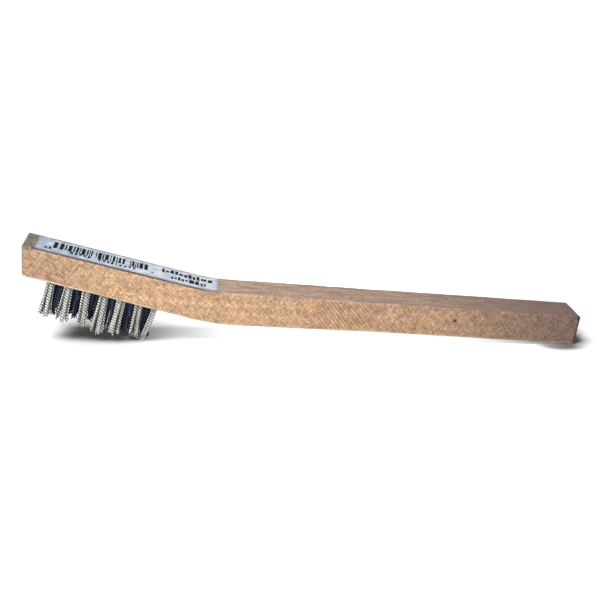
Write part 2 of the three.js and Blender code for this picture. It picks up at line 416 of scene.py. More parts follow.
        # Painted shade on the free end's eased rim, and a dark spot at its top front corner.
        tone = self.tinted(tone, self.attribute("end_grime"), 58, 48, 42)
        dots = self.ramp(self.cells(self.scaled(self.place, (0.3, 4.2, 4.2))), 0.15, 0.4)
        end_tone = self.mix(dots, colour(92, 70, 56), colour(150, 116, 90))
        return self.mix(self.attribute("end_face"), tone, end_tone)

    def relief(self, marks):
        fibres = self.grain((0.5, 9.0, 10.0), 3.0, 0.6)
        height = self.math("ADD", fibres, self.both(self.pore, -0.8))
        height = self.math("ADD", height, self.both(marks, 0.5))
        return self.bump(height, 0.35, 0.00012)


def wood_material():
    wood = Beech()
    tone = wood.flecked(wood.speckled(wood.greyed(wood.fresh())))
    marks = wood.saw_marks()
    tone = wood.tinted(tone, wood.both(marks, 0.42), 136, 94, 74)
    tone = wood.handled(wood.knotted(tone))
    rough = wood.ramp(wood.streaks, 0.3, 0.8, 0.62, 0.8)
    rough = wood.math("SUBTRACT", rough, wood.both(wood.edge, 0.12))
    wood.feed(wood.principled.inputs["Specular IOR Level"], WOOD_SPECULAR)
    return wood.finish(Base_Color=tone, Roughness=rough, Normal=wood.relief(marks))


def paper_material():
    """Coated label paper, very slightly blue, with faint fibres and handling marks."""
    s = Shader("label_paper")
    place = s.attribute("label_place", "Vector")
    cloud = s.noise(s.scaled(place, (0.35, 0.5, 1)), 1.0, 3.0, 0.6)
    fibre = s.noise(s.scaled(place, (1.2, 5.0, 1)), 1.0, 3.0, 0.7)
    parts = s.node("ShaderNodeSeparateXYZ")
    s.feed(parts.inputs[0], place)
    clean = s.math("ADD", parts.outputs[0], s.math("MULTIPLY", cloud, 20.0))
    tone = s.mix(s.ramp(clean, 5.0, 60.0), colour(156, 171, 190), colour(217, 224, 231))
    tone = s.mix(s.ramp(cloud, 0.38, 0.56, 0.6, 0.0), tone, colour(152, 170, 198))
    tone = s.mix(s.ramp(cloud, 0.5, 0.64, 0.0, 0.75), tone, colour(222, 228, 232))
    tone = s.mix(s.ramp(fibre, 0.45, 0.75, 0.0, 0.35), tone, colour(168, 180, 200))
    rim = s.attribute("label_rim")
    tone = s.mix(s.math("MULTIPLY", rim, 0.6), tone, colour(120, 118, 120))
    normal = s.bump(s.math("ADD", fibre, cloud), 0.25, 0.00006)
    return s.finish(Base_Color=tone, Roughness=s.ramp(fibre, 0.3, 0.7, 0.42, 0.6), Normal=normal)


INK_SPECULAR = 0.1


def ink_material():
    """Black print, thin and uneven where the paper shows through."""
    s = Shader("label_ink")
    place = s.attribute("label_place", "Vector")
    thin = s.noise(s.scaled(place, (3.0, 3.0, 1)), 1.0, 3.0, 0.6)
    s.feed(s.principled.inputs["Specular IOR Level"], INK_SPECULAR)
    tone = s.mix(s.ramp(thin, 0.45, 0.75, 0.0, 0.3), colour(2, 2, 6), colour(70, 76, 96))
    return s.finish(Base_Color=tone, Roughness=s.ramp(thin, 0.3, 0.7, 0.35, 0.55))


WIRE_METALLIC = 0.25  # low, so that the wires stay bright between the lamps


def wire_material():
    """Crimped steel. Painted shade makes it dark away from the crests of its crimp, for bands of light and
    dark, and dark inside each tuft and along the seams of its strands. The middle row is painted dark navy
    as painted shade, for a row that stands in the shadow of the others."""
    s = Shader("crimped_wire")
    place = s.attribute("wire_place", "Vector")
    parts = s.node("ShaderNodeSeparateXYZ")
    s.feed(parts.inputs[0], place)
    down = parts.outputs[2]
    shade = s.attribute("wire_shade")
    tint = s.attribute("wire_tint")
    crest = s.attribute("wire_crest")
    dark_row = s.attribute("wire_dark")
    drawn = s.noise(s.scaled(place, (6.0, 6.0, 0.8)), 1.0, 3.0, 0.6)
    warm = s.mix(s.ramp(tint, 0.1, 0.5), colour(250, 255, 246), colour(255, 255, 252))
    tone = s.mix(s.ramp(tint, 0.55, 0.9), warm, colour(254, 246, 236))
    tone = s.mix(s.ramp(shade, 0.0, 0.7, 0.3, 0.0), tone, colour(128, 132, 120))
    tone = s.mix(s.ramp(drawn, 0.5, 0.75, 0.0, 0.4), tone, colour(158, 150, 128))
    # Painted shade: near black away from the crests of the crimp, so that the crests read as lit bands.
    tone = s.mix(s.ramp(crest, 0.21, 0.49, 0.97, 0.0), tone, colour(16, 17, 16))
    # Painted shade inside the tuft and along the seams between its strands.
    tone = s.mix(s.math("MULTIPLY", s.attribute("wire_depth"), 0.85), tone, colour(34, 34, 30))
    tone = s.mix(s.ramp(down, -2.5, 0.3, 0.0, 0.6), tone, colour(60, 58, 50))
    # Painted shade: the middle row, which stands in the other rows' shadow, is dark navy, darkest towards
    # the root.
    middle_row_shade = s.mix(s.ramp(shade, 0.4, 1.0), colour(14, 16, 40), colour(84, 94, 122))
    middle_row_shade = s.mix(s.ramp(crest, 0.3, 0.7, 0.6, 0.0), middle_row_shade, colour(10, 11, 26))
    tone = s.mix(dark_row, tone, s.mix(s.ramp(down, -2.5, -0.5), middle_row_shade, colour(8, 8, 12)))
    rough = s.math("ADD", s.ramp(drawn, 0.3, 0.7, 0.26, 0.42), s.math("MULTIPLY", dark_row, 0.2))
    normal = s.bump(drawn, 0.2, 0.00003)
    return s.finish(Base_Color=tone, Metallic=WIRE_METALLIC, Roughness=rough, Normal=normal)


def staple_material():
    """Flat steel wire with drawing lines and a few oxide stains."""
    s = Shader("staple_steel")
    place = s.node("ShaderNodeTexCoord").outputs["Object"]
    lines = s.noise(s.scaled(place, (9000, 700, 700)), 1.0, 2.0)
    stain = s.noise(s.scaled(place, (900, 900, 900)), 1.0, 3.0)
    tone = s.mix(s.ramp(lines, 0.35, 0.65), colour(150, 152, 154), colour(190, 192, 194))
    tone = s.mix(s.ramp(stain, 0.6, 0.75, 0.0, 0.6), tone, colour(116, 84, 62))
    rough = s.ramp(stain, 0.4, 0.7, 0.3, 0.55)
    return s.finish(Base_Color=tone, Metallic=1.0, Roughness=rough, Normal=s.bump(lines, 0.2, 0.00002))


# --- The wooden block ---

STATION_STEP = 0.6
CORNER_STEPS = 5
SIDE_STEPS = 9
EDGE_RADIUS = 0.45
EDGE_WANDER = 0.18
END_RADIUS = 0.5
END_RINGS = 4
END_FACE_SHARES = (0.75, 0.45, 0.18)  # sizes of the rings inside each end face
LONG_WAVE = 0.05
FINE_WAVE = 0.018
DENT_DEPTH = 0.10
HOLE_SIDES = 28
HOLE_LEVELS = ((-1.5, 1.16), (-0.12, 1.12), (0.22, 1.0), (HOLE_DEPTH, 1.0))  # height, and how wide
HOLE_RAGGED = 0.05
DRILL_POINT = 0.5
SHARP_ANGLE = math.radians(40)


def section(x, inset):
    """Points [y, z] round the block at x, anticlockwise seen from the free end, drawn in by inset.
    Each corner's radius wanders a little, as hand sanding leaves it."""
    half = BLOCK_WIDTH / 2 - inset
    top = back_z(x) - inset
    bottom = belly_z(x) + inset
    corners = [(half, bottom, -90), (half, top, 0), (-half, top, 90), (-half, bottom, 180)]
    points = []
    for number, (y, z, start) in enumerate(corners):
        radius = EDGE_RADIUS + EDGE_WANDER * noise_at(x / 7.0, number * 5.3, 1.7)
        centre_y = y - math.copysign(radius, y)
        centre_z = z - radius if z == top else z + radius
        arc = []
        for n in range(CORNER_STEPS + 1):
            angle = math.radians(start + 90 * n / CORNER_STEPS)
            arc.append((centre_y + radius * math.cos(angle), centre_z + radius * math.sin(angle)))
        points.append(arc)
    ring = []
    for number, arc in enumerate(points):
        ring += arc
        after = points[(number + 1) % 4][0]
        for n in range(1, SIDE_STEPS):
            t = n / SIDE_STEPS
            ring.append((arc[-1][0] + (after[0] - arc[-1][0]) * t, arc[-1][1] + (after[1] - arc[-1][1]) * t))
    return ring


def stations():
    """(x, inset) of every section, with the ends rounded over."""
    rounded = []
    for n in range(END_RINGS + 1):
        angle = math.pi / 2 * (1 - n / END_RINGS)
        rounded.append((END_RADIUS * (1 - math.sin(angle)), END_RADIUS * (1 - math.cos(angle))))
    left = [(END_X + x, inset) for x, inset in rounded]
    right = [(HANDLE_LENGTH - x, inset) for x, inset in reversed(rounded)]
    count = round((BLOCK_LENGTH - 2 * END_RADIUS) / STATION_STEP)
    first = END_X + END_RADIUS
    middle = [(first + (BLOCK_LENGTH - 2 * END_RADIUS) * n / count, 0.0) for n in range(1, count)]
    return left + middle + right


def ring_mesh():
    """The block without its holes, in millimetres in the handle's frame."""
    points, faces = [], []
    rings = []
    for x, inset in stations():
        ring = section(x, inset)
        rings.append(range(len(points), len(points) + len(ring)))
        points += [(x, y, z) for y, z in ring]
    around = len(rings[0])
    for first, second in zip(rings, rings[1:]):
        for n in range(around):
            m = (n + 1) % around
            faces.append((first[n], first[m], second[m], second[n]))
    for ring, outward in ((rings[0], False), (rings[-1], True)):
        x = points[ring[0]][0]
        middle = Vector((x, 0, (back_z(x) + belly_z(x)) / 2))
        previous = list(ring)
        for share in END_FACE_SHARES:
            shrunk = []
            for n in ring:
                shrunk.append(len(points))
                points.append(tuple(middle.lerp(Vector(points[n]), share)))
            for n in range(around):
                m = (n + 1) % around
                quad = (previous[n], previous[m], shrunk[m], shrunk[n])
                faces.append(quad if outward else quad[::-1])
            previous = shrunk
        faces.append(tuple(previous if outward else previous[::-1]))
    return points, faces


def wander(points):
    """Moves each point a few hundredths of a millimetre inwards: long and fine waves, and small dents at
    the edges."""
    moved = []
    for x, y, z in points:
        side = LONG_WAVE * noise_at(x / 24.0, z / 9.0, 3.1) + FINE_WAVE * noise_at(x / 2.2, z / 1.5, 8.2)
        up = LONG_WAVE * noise_at(x / 24.0, y / 9.0, 6.4) + FINE_WAVE * noise_at(x / 2.0, y / 1.5, 2.9)
        near_side = smooth_step(4.5, 6.3, abs(y))
        height = (z - belly_z(x)) / (back_z(x) - belly_z(x)) * 2 - 1
        near_face = smooth_step(0.6, 0.97, abs(height))
        dent = max(0.0, noise_at(x / 3.1, y / 2.0, z / 2.0) - 0.25)
        dent = DENT_DEPTH * dent * near_side * near_face
        y -= math.copysign((abs(side) + dent) * near_side, y)
        z -= math.copysign((abs(up) + dent) * near_face, height)
        moved.append((x, y, z))
    return moved


def tuft_axes():
    """Where each tuft stands in the head's frame: {node: (x, y)}, from the CAD tufts themselves."""
    to_head = HEAD.inverted()
    axes = {}
    for name, node in frame["nodes"].items():
        if name.startswith("tuft_"):
            inside = [to_head @ v.co for v in node.data.vertices]
            xs = [p.x for p in inside]
            ys = [p.y for p in inside]
            axes[name] = ((min(xs) + max(xs)) / 2, (min(ys) + max(ys)) / 2)
    return axes


AXES = tuft_axes()


def hole_cutter():
    """Every drilled hole as one mesh, in the handle's frame, each mouth a little torn."""
    points, faces = [], []
    for number, (x, y) in enumerate(AXES.values()):
        start = len(points)
        for z, widen in HOLE_LEVELS:
            for n in range(HOLE_SIDES):
                angle = 2 * math.pi * n / HOLE_SIDES
                torn = noise_at(math.cos(angle) * 1.5, math.sin(angle) * 1.5, number * 3.7)
                ragged = 1 + HOLE_RAGGED * torn
                reach = HOLE_DIAMETER / 2 * (widen * ragged if widen > 1 else 1)
                rim = Vector((x + reach * math.cos(angle), y + reach * math.sin(angle), z))
                points.append(HEAD_IN_HANDLE @ rim)
        points.append(HEAD_IN_HANDLE @ Vector((x, y, HOLE_DEPTH + DRILL_POINT)))
        for level in range(len(HOLE_LEVELS) - 1):
            low, high = start + level * HOLE_SIDES, start + (level + 1) * HOLE_SIDES
            for n in range(HOLE_SIDES):
                m = (n + 1) % HOLE_SIDES
                faces.append((low + n, low + m, high + m, high + n))
        faces.append(tuple(range(start + HOLE_SIDES - 1, start - 1, -1)))
        top = start + (len(HOLE_LEVELS) - 1) * HOLE_SIDES
        for n in range(HOLE_SIDES):
            faces.append((top + n, top + (n + 1) % HOLE_SIDES, len(points) - 1))
    return mesh_of("hole_cutter", points, faces)


GREY_SPILL = 0.4  # how far the back's grey runs down over its edges
GREY_SPILL_AT_HEAD = 0.8  # and how much further at the head's end
GREY_FADE = 0.35


def wood_attributes(mesh):
    """What the wood's material reads, from each point's own place in the handle's frame."""
    places, back, edge, end, grime, over_belly = [], [], [], [], [], []
    for vertex in mesh.vertices:
        x, y, z = vertex.co
        top, bottom = back_z(x), belly_z(x)
        from_side = BLOCK_WIDTH / 2 - abs(y)
        from_face = min(top - z, z - bottom)
        from_end = min(x - END_X, HANDLE_LENGTH - x)
        near = sorted((from_side, from_face, from_end))
        places.append((x, y, z))
        head_back_patches = GREY_SPILL + GREY_SPILL_AT_HEAD * (1.0 - smooth_step(0.0, 4.5, x - END_X))
        back.append(1.0 - smooth_step(head_back_patches - GREY_FADE, head_back_patches, top - z))
        edge.append(1.0 - smooth_step(0.25, 0.9, near[0] + near[1]))
        end.append(1.0 - smooth_step(0.05, 0.35, from_end))
        # The free end's rim and its top front corner, marked for painted shade.
        corner = Vector((x - HANDLE_LENGTH, y + BLOCK_WIDTH / 2, z)).length
        rim = 1.0 - smooth_step(0.3, 1.1, HANDLE_LENGTH - x)
        over_belly.append(z - bottom)
        grime.append(max(0.8 * rim, 1.0 - smooth_step(0.9, 1.9, corner)))
    set_attribute(mesh, "wood_place", "FLOAT_VECTOR", places)
    set_attributes(mesh, back_face=back, edge=edge, end_face=end, end_grime=grime, over_belly=over_belly)


def wooden_block():
    points, faces = ring_mesh()
    blank = new_object("blank", mesh_of("blank", wander(points), faces), [])
    cutter = new_object("cutter", hole_cutter(), [])
    holes = blank.modifiers.new("holes", "BOOLEAN")
    holes.operation = "DIFFERENCE"
    holes.solver = "EXACT"
    holes.object = cutter
    depsgraph = bpy.context.evaluated_depsgraph_get()
    mesh = bpy.data.meshes.new_from_object(blank.evaluated_get(depsgraph))
    for spare in (blank, cutter):
        bpy.data.objects.remove(spare)
    wood_attributes(mesh)
    mesh.transform(HANDLE)
    mesh.shade_smooth()
    mesh.set_sharp_from_angle(angle=SHARP_ANGLE)
    piece = new_object("beech_block", mesh, [wood_material()])
    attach(piece, "root")
    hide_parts("wood_block")


# --- The paper label ---

LABEL_LENGTH = 62.1
LABEL_WIDTH = 11.4
LABEL_THICKNESS = 0.12
LABEL_FROM_END = 3.95
LABEL_SKEW = math.radians(0.3)
LABEL_OFF_CENTRE = 0.25  # towards the front side
LABEL_LIFT = 0.06
LABEL_WAVE = 0.03
CORNER_LIFT = 0.07
CORNER_REACH = 3
LABEL_GRID = 0.9
PRINT_SEED = 11
BAR_STRIPS = ((5.4, 7.2), (7.5, 18.7), (19.4, 29.6), (31.1, 37.7))  # starts and ends along the label
BAR_WIDTHS = (0.35, 0.5, 0.8, 1.2)
BAR_GAPS = (0.3, 0.4, 0.5)
BAR_LOW, BAR_HIGH = 4.4, 9.5  # across the label
BAR_TAIL = 0.6  # how much lower some bars reach
# Start and end along the label, then low and high edge across it, of each row of dashes.
DASH_ROWS = (
    (2.8, 5.0, 2.0, 4.0),
    (11.2, 19.0, 2.1, 4.1),
    (20.6, 33.6, 2.1, 4.1),
    (38.6, 40.2, 2.4, 4.0),
    (42.2, 60.0, 6.2, 9.8),
    (45.4, 57.6, 2.2, 5.2),
)
TALL_ROW = 2  # rows over this height have wider dashes
LEAST_DASH = 0.6


def back_place(along):
    """Point [x, z] and slope of the back at a distance from the head's end, over the bend as well."""
    reach = BACK_BEND_RADIUS * math.tan(BEND_ANGLE / 2)
    to_bend = BACK_LENGTH - reach
    if along <= to_bend:
        left = BACK_LENGTH - along
        return -left * math.cos(BEND_ANGLE), left * math.sin(BEND_ANGLE), BEND_ANGLE
    slope = BEND_ANGLE - (along - to_bend) / BACK_BEND_RADIUS
    return reach - BACK_BEND_RADIUS * math.sin(slope), BACK_BEND_RADIUS * (1 - math.cos(slope)), slope


def printed_marks():
    """Rectangles [u0, u1, v0, v1] of ink, in millimetres along and across the label: a strip of plain
    bars of random widths, and rows of plain dashes where a printed label has its words."""
    chance = random.Random(PRINT_SEED)
    marks = []
    for start, end in BAR_STRIPS:
        u = start
        while u < end - 0.2:
            width = chance.choice(BAR_WIDTHS)
            marks.append((u, min(u + width, end), BAR_LOW - chance.choice((0, 0, BAR_TAIL)), BAR_HIGH))
            u += width + chance.choice(BAR_GAPS)
    for start, end, low, high in DASH_ROWS:
        u = start
        tall = high - low > TALL_ROW
        while u < end:
            width = chance.uniform(0.8, 2.0) if tall else chance.uniform(0.7, 1.1)
            cut = chance.choice((0, 0, 0.2)) * (high - low)
            top = high - chance.choice((0, 0, 0.3)) * (high - low)
            if end - u > 0.5:
                marks.append((u, min(u + width, end), low + cut, max(top, low + cut + LEAST_DASH)))
            u += width + (chance.uniform(0.35, 0.55) if tall else chance.uniform(0.5, 0.8))
    return marks


def cut_lines(length, step, edges):
    """Grid lines from 0 to length, one on each edge of a mark and otherwise about a step apart."""
    fixed = sorted(set([0.0, length] + [round(e, 4) for e in edges]))
    lines = []
    for low, high in zip(fixed, fixed[1:]):
        parts = max(1, round((high - low) / step))
        lines += [low + (high - low) * n / parts for n in range(parts)]
    return lines + [length]


def label_point(u, v, height):
    """A point of the label in the handle's frame. The paper waves a little, and lifts at its far end and
    most at the corners there."""
    along = LABEL_FROM_END + u
    x, z, slope = back_place(along)
    y = v - LABEL_WIDTH / 2 - LABEL_OFF_CENTRE + (u - LABEL_LENGTH / 2) * math.tan(LABEL_SKEW)
    wave = LABEL_WAVE * noise_at(u / 6.0, v / 4.0, 0.5)
    near_end = smooth_step(LABEL_LENGTH - CORNER_REACH, LABEL_LENGTH, u)
    corner = near_end * (0.5 + 0.5 * abs(2 * v / LABEL_WIDTH - 1))
    lift = LABEL_LIFT + max(0.0, wave) + CORNER_LIFT * corner + height
    return x + lift * math.sin(slope), y, z + lift * math.cos(slope)


def grid_outline(columns, rows):
    """The numbers of a grid's outer points, in order round it. The grid counts up its columns."""
    outline = [i * rows for i in range(columns)]
    outline += [(columns - 1) * rows + j for j in range(1, rows)]
    outline += [i * rows + rows - 1 for i in range(columns - 2, -1, -1)]
    return outline + list(range(rows - 2, 0, -1))


def paper_label():
    marks = printed_marks()
    us = cut_lines(LABEL_LENGTH, LABEL_GRID, [m[0] for m in marks] + [m[1] for m in marks])
    vs = cut_lines(LABEL_WIDTH, LABEL_GRID, [m[2] for m in marks] + [m[3] for m in marks])
    columns, rows = len(us), len(vs)
    points, faces, inked, flat, rim = [], [], [], [], []
    for height in (0.0, LABEL_THICKNESS):
        for u in us:
            for v in vs:
                points.append(label_point(u, v, height))
                flat.append((u, v, height))
                margin = min(u, LABEL_LENGTH - u, v, LABEL_WIDTH - v)
                rim.append(1.0 if margin < 0.01 else 0.0)
    layer = columns * rows
    for i in range(columns - 1):
        for j in range(rows - 1):
            a, b, c, d = i * rows + j, (i + 1) * rows + j, (i + 1) * rows + j + 1, i * rows + j + 1
            faces.append((a, d, c, b))
            inked.append(0)
            faces.append((a + layer, b + layer, c + layer, d + layer))
            u, v = (us[i] + us[i + 1]) / 2, (vs[j] + vs[j + 1]) / 2
            inked.append(int(any(m[0] < u < m[1] and m[2] < v < m[3] for m in marks)))
    outline = grid_outline(columns, rows)
    for a, b in zip(outline, outline[1:] + outline[:1]):
        faces.append((a, b, b + layer, a + layer))
        inked.append(0)
    mesh = mesh_of("label_mesh", points, faces)
    mesh.polygons.foreach_set("material_index", inked)
    set_attribute(mesh, "label_place", "FLOAT_VECTOR", flat)
    set_attributes(mesh, label_rim=rim)
    mesh.transform(HANDLE)
    piece = new_object("printed_label", mesh, [paper_material(), ink_material()])
    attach(piece, "root")
    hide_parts("paper_label")


# --- The wire tufts ---

TUFT_SEED = 4
WIRES = 56
WIRE_RADIUS = 0.14
WIRE_SIDES = 4
CRIMP_WAVE = 0.98
CRIMP_HEIGHT = 0.2
CRIMP_OPENS = 0.4  # how much wider it swings at the tip
CRIMP_STEPS = 6
CRIMP_SLANT = (2.9, 3.9)  # radians of crimp for each millimetre along and across the head
CRIMP_TURN = math.radians(65)  # the way the crimp swings, from along the head
WIRE_START = 1.6  # in the hole, where the bundle is out of sight
SPREAD_POWER = 1.3
ROOT_RADIUS = 1.34
STRANDS = 4
STRAND_OFFSET = 0.76
STRAND_GATHER = 0.75  # how far apart a strand's wires stay at their tips
STRAY_SHARE = 0.08
TIP_SPREAD, STRAY_TIP_SPREAD = 0.06, 0.8
BEAT_SPREAD, STRAY_BEAT_SPREAD = 0.25, 1.5
FLOOR_GAP = 0.1
CURL_LENGTH = 4.0
FRONT_LEANS = (0.4, 0.4, 0.7, 0.4, 0.1, 1.1, -1.2)  # how far each front tuft's tip leans to the handle
FRONT_EXTRA = (0.8, 1.3, 1.3, 2.5, 0.9, 0.2, 0.0)  # and how much longer than the trim it has grown
FRONT_FANS = (1.5, 2.0, 1.6, 2.0, 1.75, 1.7, 1.0)  # and how far its strands spread apart
LAST_KEPT = 0.2  # the last front tuft has lost its wires on the handle's side
BACK_LAST_LEAN = -2.0  # and the last back tuft's tip leans to the head's end
BACK_LAST_WORN = 2.2  # how much shorter than the trim the last back tuft has worn


def wire_path(axis, root, tip, length, beat, slant, crimp_turn, curl):
    """Points of one wire in the head's frame: straight in its hole, then fanning out, with its crimp
    across the direction it runs in and its last few millimetres curled aside. The crimps of a tuft's
    wires lie in slanting planes. With each point comes how near a crest of the crimp it is, 0 to 1."""
    total = WIRE_START + length
    count = int(total / CRIMP_WAVE * CRIMP_STEPS)
    path, crests = [], []
    for n in range(count + 1):
        z = WIRE_START - total * n / count
        spread = (max(0.0, -z) / length) ** SPREAD_POWER
        aside = max(0.0, 1 - (length + z) / CURL_LENGTH) ** 2
        x = root[0] + (tip[0] - root[0]) * spread + curl[0] * aside
        y = root[1] + (tip[1] - root[1]) * spread + curl[1] * aside
        turn = 2 * math.pi * z / CRIMP_WAVE + beat + (x - axis[0]) * slant[0] + (y - axis[1]) * slant[1]
        wave = CRIMP_HEIGHT * (1 + CRIMP_OPENS * spread) * math.sin(turn) * smooth_step(-0.8, 0.8, -z)
        path.append((x + wave * math.cos(crimp_turn), y + wave * math.sin(crimp_turn), z))
        crests.append(0.5 - 0.5 * math.sin(turn))
    return path, crests


def tube(path, radius, points, faces):
    """Adds a closed tube along a path, cut square at its end, to a mesh's points and faces."""
    line = np.array(path)
    ahead = np.gradient(line, axis=0)
    ahead /= np.linalg.norm(ahead, axis=1)[:, None]
    side = np.cross(ahead, (0.0, 1.0, 0.0))
    side /= np.linalg.norm(side, axis=1)[:, None]
    other = np.cross(ahead, side)
    start = len(points)
    turns = [2 * math.pi * (n + 0.5) / WIRE_SIDES for n in range(WIRE_SIDES)]
    for centre, a, b in zip(line, side, other):
        for turn in turns:
            points.append(centre + radius * (math.cos(turn) * a + math.sin(turn) * b))
    for n in range(len(path) - 1):
        low, high = start + n * WIRE_SIDES, start + (n + 1) * WIRE_SIDES
        for k in range(WIRE_SIDES):
            m = (k + 1) % WIRE_SIDES
            faces.append((low + k, low + m, high + m, high + k))
    faces.append(tuple(range(start + WIRE_SIDES - 1, start - 1, -1)))
    last = start + (len(path) - 1) * WIRE_SIDES
    faces.append(tuple(range(last, last + WIRE_SIDES)))


def floor_length(x, y):
    """How far below the block a wire at x, y in the head's frame can reach before the floor."""
    root = HEAD @ Vector((x, y, 0))
    down = (HEAD.to_3x3() @ Vector((0, 0, -1))).z
    return (FLOOR_GAP * MM - root.z) / down


def strand_centres(chance):
    """Where a tuft's strands sit in its hole."""
    first = chance.uniform(0, 2 * math.pi)
    turns = [first + 2 * math.pi * n / STRANDS for n in range(STRANDS)]
    return [(STRAND_OFFSET * math.cos(turn), STRAND_OFFSET * math.sin(turn)) for turn in turns]


def tuft(name, axis, lean, trim, fan, kept, chance, material):
    """One bundle of crimped wires, gathered in strands, with its crimps in step. Each tuft leans, fans
    and is trimmed a little differently. Wires that stand more than kept further along the head than the
    tuft's axis are missing."""
    centres = strand_centres(chance)
    beat = chance.uniform(0, 2 * math.pi)
    slant = (CRIMP_SLANT[0] * chance.uniform(0.8, 1.15), CRIMP_SLANT[1])
    turns = [chance.gauss(CRIMP_TURN, math.radians(12)) for _ in centres]
    leans = [(chance.gauss(0, 0.2), chance.gauss(0, 0.2), chance.gauss(0, 0.25)) for _ in centres]
    tints = [chance.random() for _ in centres]
    points, faces, shades, tones, inner_shades, crests = [], [], [], [], [], []
    for n in range(WIRES):
        turn = n * math.pi * (3 - math.sqrt(5))
        out = ROOT_RADIUS * math.sqrt((n + 0.5) / WIRES)
        near = (out * math.cos(turn), out * math.sin(turn))
        if near[0] > kept:
            continue
        strand, next_strand = sorted(range(STRANDS), key=lambda k: math.dist(near, centres[k]))[:2]
        seam = math.dist(near, centres[next_strand]) - math.dist(near, centres[strand])
        root = (axis[0] + near[0], axis[1] + near[1])
        is_stray = chance.random() < STRAY_SHARE
        tip_spread = STRAY_TIP_SPREAD if is_stray else TIP_SPREAD
        tip = []
        for side in (0, 1):
            inside = (near[side] - centres[strand][side]) * STRAND_GATHER
            wide = centres[strand][side] * fan + leans[strand][side]
            tip.append(axis[side] + lean[side] + wide + inside + chance.gauss(0, tip_spread))
        length = min(trim + leans[strand][2] + chance.gauss(0, 0.2), floor_length(tip[0], tip[1]))
        own_beat = beat + chance.gauss(0, STRAY_BEAT_SPREAD if is_stray else BEAT_SPREAD)
        curl = (chance.gauss(0, 0.3), chance.gauss(0, 0.3))
        path, wire_crests = wire_path(axis, root, tip, length, own_beat, slant, turns[strand], curl)
        tube(path, WIRE_RADIUS, points, faces)
        crests += [crest for crest in wire_crests for _ in range(WIRE_SIDES)]
        count = len(points) - len(shades)
        shades += [chance.random()] * count
        tones += [tints[strand]] * count
        # Painted shade: wires deep in the tuft or on a seam between strands are marked to be painted dark.
        inner_shades += [1.0 - smooth_step(0.45, 0.95, out) * smooth_step(0.0, 0.5, seam)] * count
    # The middle row is marked for painted shade.
    dark = [1.0 if "middle" in name else 0.0] * len(points)
    mesh = mesh_of(name + "_mesh", points, faces)
    set_attribute(mesh, "wire_place", "FLOAT_VECTOR", points)
    set_attributes(mesh, wire_shade=shades, wire_tint=tones, wire_depth=inner_shades, wire_crest=crests)
    set_attributes(mesh, wire_dark=dark)
    mesh.transform(HEAD)
    mesh.shade_smooth()
    piece = new_object("wire_" + name, mesh, [material])
    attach(piece, "root")
    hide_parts(name)


def wire_tufts():
    """Every tuft, in the order of their names. The front ones are set one by one, the rest by chance."""
    chance = random.Random(TUFT_SEED)
    material = wire_material()
    for name, axis in sorted(AXES.items()):
        lean = (chance.gauss(0.9, 0.5), chance.gauss(0.0, 0.2))
        trim = TRIM_LENGTH + chance.gauss(0.6, 0.3)
        fan = chance.uniform(1.6, 2.0)
        kept = ROOT_RADIUS
        number = int(name.rsplit("_", 1)[1]) - 1
        is_last = number == len(FRONT_LEANS) - 1
        if "back" in name and is_last:
            lean = (BACK_LAST_LEAN, lean[1])
            trim = TRIM_LENGTH - BACK_LAST_WORN
        if "front" in name:
            lean = (FRONT_LEANS[number], lean[1])
            trim = TRIM_LENGTH + FRONT_EXTRA[number]
            fan = FRONT_FANS[number]
            if is_last:
                kept = LAST_KEPT
        tuft(name, axis, lean, trim, fan, kept, chance, material)


def staples():
    """Gives the CAD staples their steel. Their shape stays as it is."""
    material = staple_material()
    for name, node in frame["nodes"].items():
        if name.startswith("staple_"):
            node.data.materials.clear()
            node.data.materials.append(material)


# --- Floor, light and camera ---

FLOOR_REACH = 20.0
FLOOR_TONES = (0.47, 0.49)


def floor():
    """A plain floor, grey enough that its own strong lamps leave the shadows deep."""
    corners = [(-FLOOR_REACH, -FLOOR_REACH, 0), (FLOOR_REACH, -FLOOR_REACH, 0),
               (FLOOR_REACH, FLOOR_REACH, 0), (-FLOOR_REACH, FLOOR_REACH, 0)]
    mesh = mesh_of("floor_mesh", corners, [(0, 1, 2, 3)])
    s = Shader("floor_white")
    speckle = s.noise(s.node("ShaderNodeTexCoord").outputs["Object"], 40.0, 2.0)
    low, high = [(tone, tone, tone, 1) for tone in FLOOR_TONES]
    tone = s.mix(s.ramp(speckle, 0.3, 0.7), low, high)
    piece = new_object("floor", mesh, [s.finish(Base_Color=tone, Roughness=0.9)])
    return piece


def placed_lamp(name, kind, power, place, target):
    lamp = bpy.data.lights.new(name, kind)
    lamp.energy = power
    made = bpy.data.objects.new(name, lamp)
    bpy.context.scene.collection.objects.link(made)
    made.location = place
    made.rotation_euler = (Vector(target) - Vector(place)).to_track_quat("-Z", "Y").to_euler()
    return made


def soft_box(name, place, target, size, power):
    made = placed_lamp(name, "AREA", power, place, target)
    made.data.shape = "RECTANGLE"
    made.data.size, made.data.size_y = size
    return made


# Each net's middle, its reach along and across the brush, and how much light its middle lets through.
HEAD_NET = ((-68.0 * MM, -0.5 * MM, 0.05 * MM), (25.0 * MM, 8.5 * MM), 0.0)
FOOT_NET = ((91.4 * MM, -7.9 * MM, 0.4 * MM), (12.5 * MM, 5.5 * MM), 0.0)
NET_SIDES = 32


